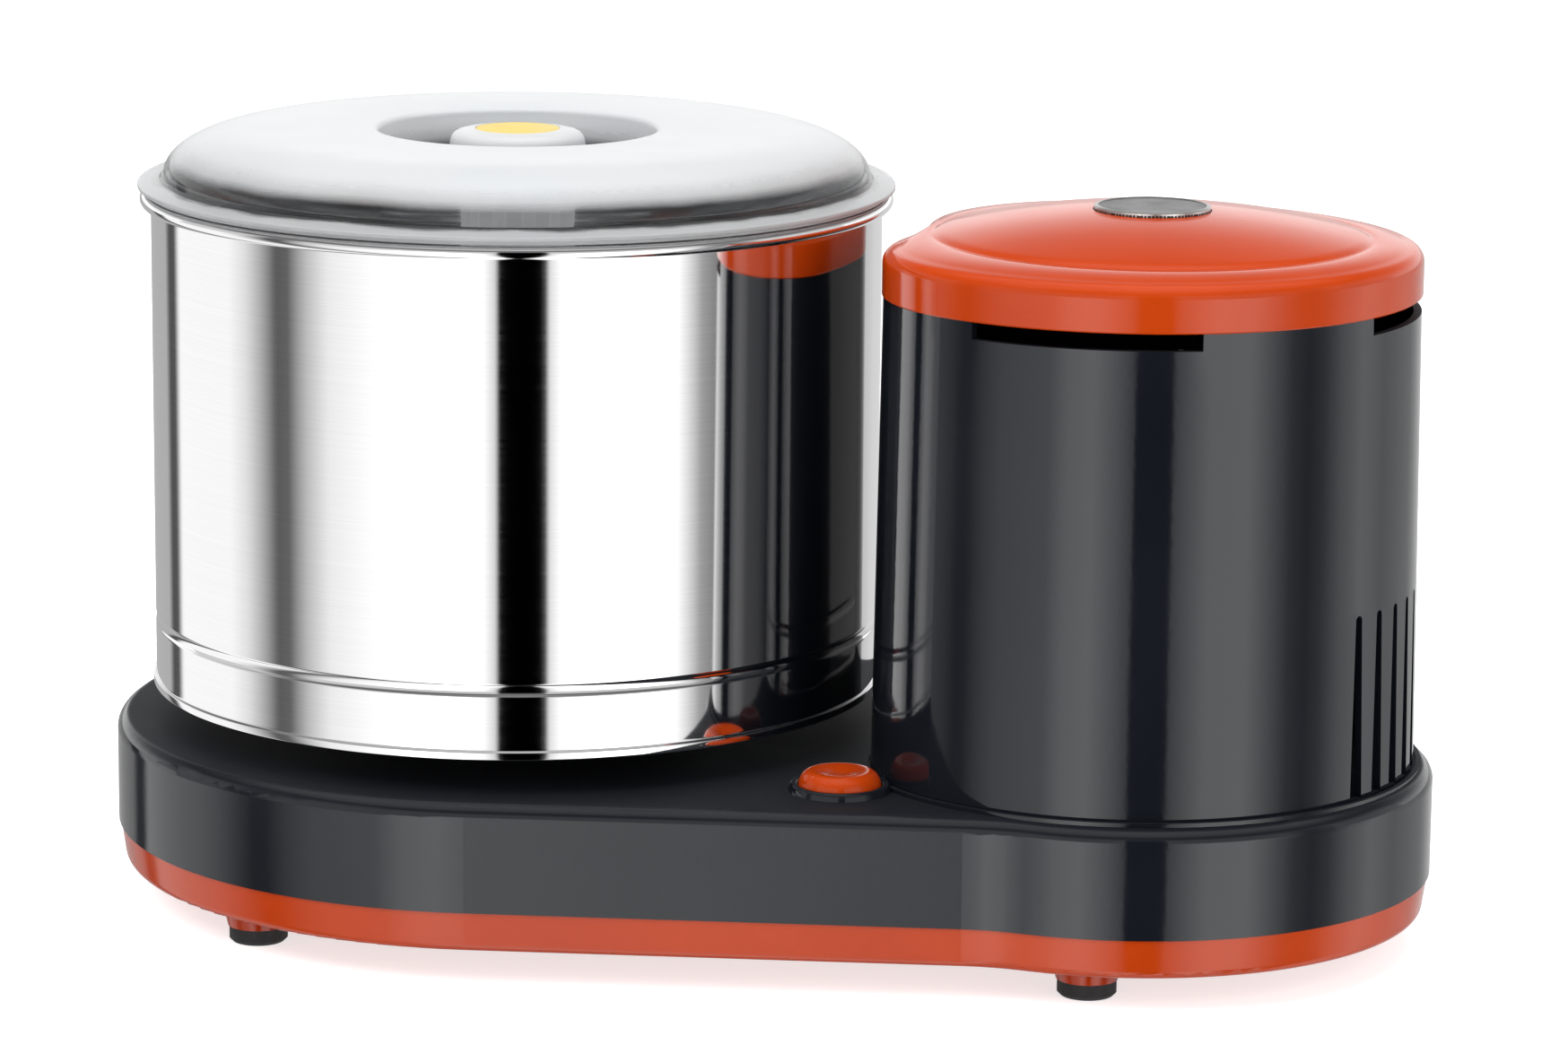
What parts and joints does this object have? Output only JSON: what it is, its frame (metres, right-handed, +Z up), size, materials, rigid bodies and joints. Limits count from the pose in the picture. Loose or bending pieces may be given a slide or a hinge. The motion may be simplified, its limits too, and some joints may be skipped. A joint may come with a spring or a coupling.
{
  "type": "table-top wet grinder",
  "caption": "Table-top wet grinder: lidded steel drum with a stone floor and rolling cone stones on a belt-driven hub, beside an upright motor tower on a shared base.",
  "frame": {"origin": "on the table under the middle of the base's outline", "axes": "+X from the drum axis to the tower axis, +Y to the rear where the cord goes in, +Z up"},
  "size_m": [0.4136, 0.2496, 0.2389],
  "materials": {
    "shell_slate": "high gloss",
    "accent_orange": "high gloss",
    "badge_dark": "satin",
    "foot_rubber": "matte",
    "screw_steel": "zinc plated",
    "cast_metal": "as cast",
    "shaft_steel": "ground",
    "belt_rubber": "matte",
    "stator_steel": "varnished laminations",
    "winding_copper": "enamelled",
    "inner_plastic": "moulded",
    "drum_steel": "mirror polished",
    "bush_plastic": "moulded",
    "granite": "fine ground",
    "lid_plastic": "milky, see-through"
  },
  "bodies": {
    "base": {"base_tray": "accent_orange", "rubber_feet": "foot_rubber", "foot_screws": "screw_steel", "tray_screws": "screw_steel", "base_shell": "shell_slate", "tower_shell": "shell_slate", "tower_screws": "screw_steel", "tower_cap": "accent_orange", "cap_badge": "badge_dark", "shaft_base": "cast_metal", "shaft_base_screws": "screw_steel", "centre_shaft": "shaft_steel", "shaft_circlips": "screw_steel", "drive_belt": "belt_rubber", "motor_spacers": "foot_rubber", "motor_lower_bracket": "cast_metal", "motor_upper_bracket": "cast_metal", "stator_core": "stator_steel", "stator_windings": "winding_copper", "motor_bolts": "screw_steel", "capacitor": "inner_plastic", "switch_body": "inner_plastic", "button_collar": "shell_slate", "button_spring": "screw_steel", "terminal_block": "inner_plastic", "cord_grommet": "foot_rubber"},
    "hub": {"drive_hub": "cast_metal", "hub_bearings": "shaft_steel", "hub_seal": "foot_rubber", "drum_pulley": "cast_metal", "pulley_screws": "screw_steel"},
    "drum": {"drum_shell": "drum_steel", "drum_floor": "drum_steel", "drum_boss": "cast_metal", "boss_rivets": "screw_steel", "lower_bush": "bush_plastic", "base_stone": "granite", "centre_tube": "shaft_steel", "stone_clamp_ring": "shaft_steel"},
    "top_bush": {"shaft_bush": "bush_plastic"},
    "roller_set": {"roller_yoke": "bush_plastic", "roller_axles": "shaft_steel", "axle_washers": "screw_steel", "axle_nuts": "screw_steel", "grip_knob": "bush_plastic", "scraper_arm": "bush_plastic", "scraper_blade": "bush_plastic", "scraper_screw": "screw_steel"},
    "roller_left": {"roller_stone_left": "granite", "roller_bush_left": "bush_plastic"},
    "roller_right": {"roller_stone_right": "granite", "roller_bush_right": "bush_plastic"},
    "lid": {"lid": "lid_plastic"},
    "rotor": {"rotor_core": "stator_steel", "rotor_shaft": "shaft_steel", "motor_bearings": "shaft_steel", "cooling_fan": "inner_plastic", "motor_pulley": "cast_metal"},
    "button": {"button": "accent_orange"}
  },
  "joints": [
    {"name": "drum_spin", "type": "hinge", "parent": "base", "child": "hub", "pos_m": [-0.082, 0, 0.027], "axis": [0, 0, 1], "continuous": true},
    {"name": "drum_lift", "type": "slide", "parent": "hub", "child": "drum", "axis": [0, 0, 1], "range_m": [0, 0.13]},
    {"name": "bush_lift", "type": "slide", "parent": "base", "child": "top_bush", "axis": [0, 0, 1], "range_m": [0, 0.13]},
    {"name": "roller_lift", "type": "slide", "parent": "top_bush", "child": "roller_set", "axis": [0, 0, 1], "range_m": [0, 0.15]},
    {"name": "roller_left_spin", "type": "hinge", "parent": "roller_set", "child": "roller_left", "pos_m": [-0.1071, 0, 0.11375], "axis": [-0.9749, 0, 0.2228], "continuous": true},
    {"name": "roller_right_spin", "type": "hinge", "parent": "roller_set", "child": "roller_right", "pos_m": [-0.0569, 0, 0.11375], "axis": [0.9749, 0, 0.2228], "continuous": true},
    {"name": "lid_lift", "type": "slide", "parent": "roller_set", "child": "lid", "axis": [0, 0, 1], "range_m": [0, 0.1]},
    {"name": "motor_spin", "type": "hinge", "parent": "base", "child": "rotor", "pos_m": [0.114, 0, 0.027], "axis": [0, 0, 1], "continuous": true},
    {"name": "button_press", "type": "slide", "parent": "base", "child": "button", "axis": [0, 0, -1], "range_m": [0, 0.003], "stiffness_N_per_m": 600, "springref_m": -0.002, "deforming": ["button_spring"]}
  ],
  "couplings": [
    {"joint": "bush_lift", "follows": "drum_lift", "ratio": 1},
    {"joint": "roller_left_spin", "follows": "drum_spin", "ratio": 2.1968},
    {"joint": "roller_right_spin", "follows": "drum_spin", "ratio": 2.1968},
    {"joint": "motor_spin", "follows": "drum_spin", "ratio": 9.5}
  ]
}
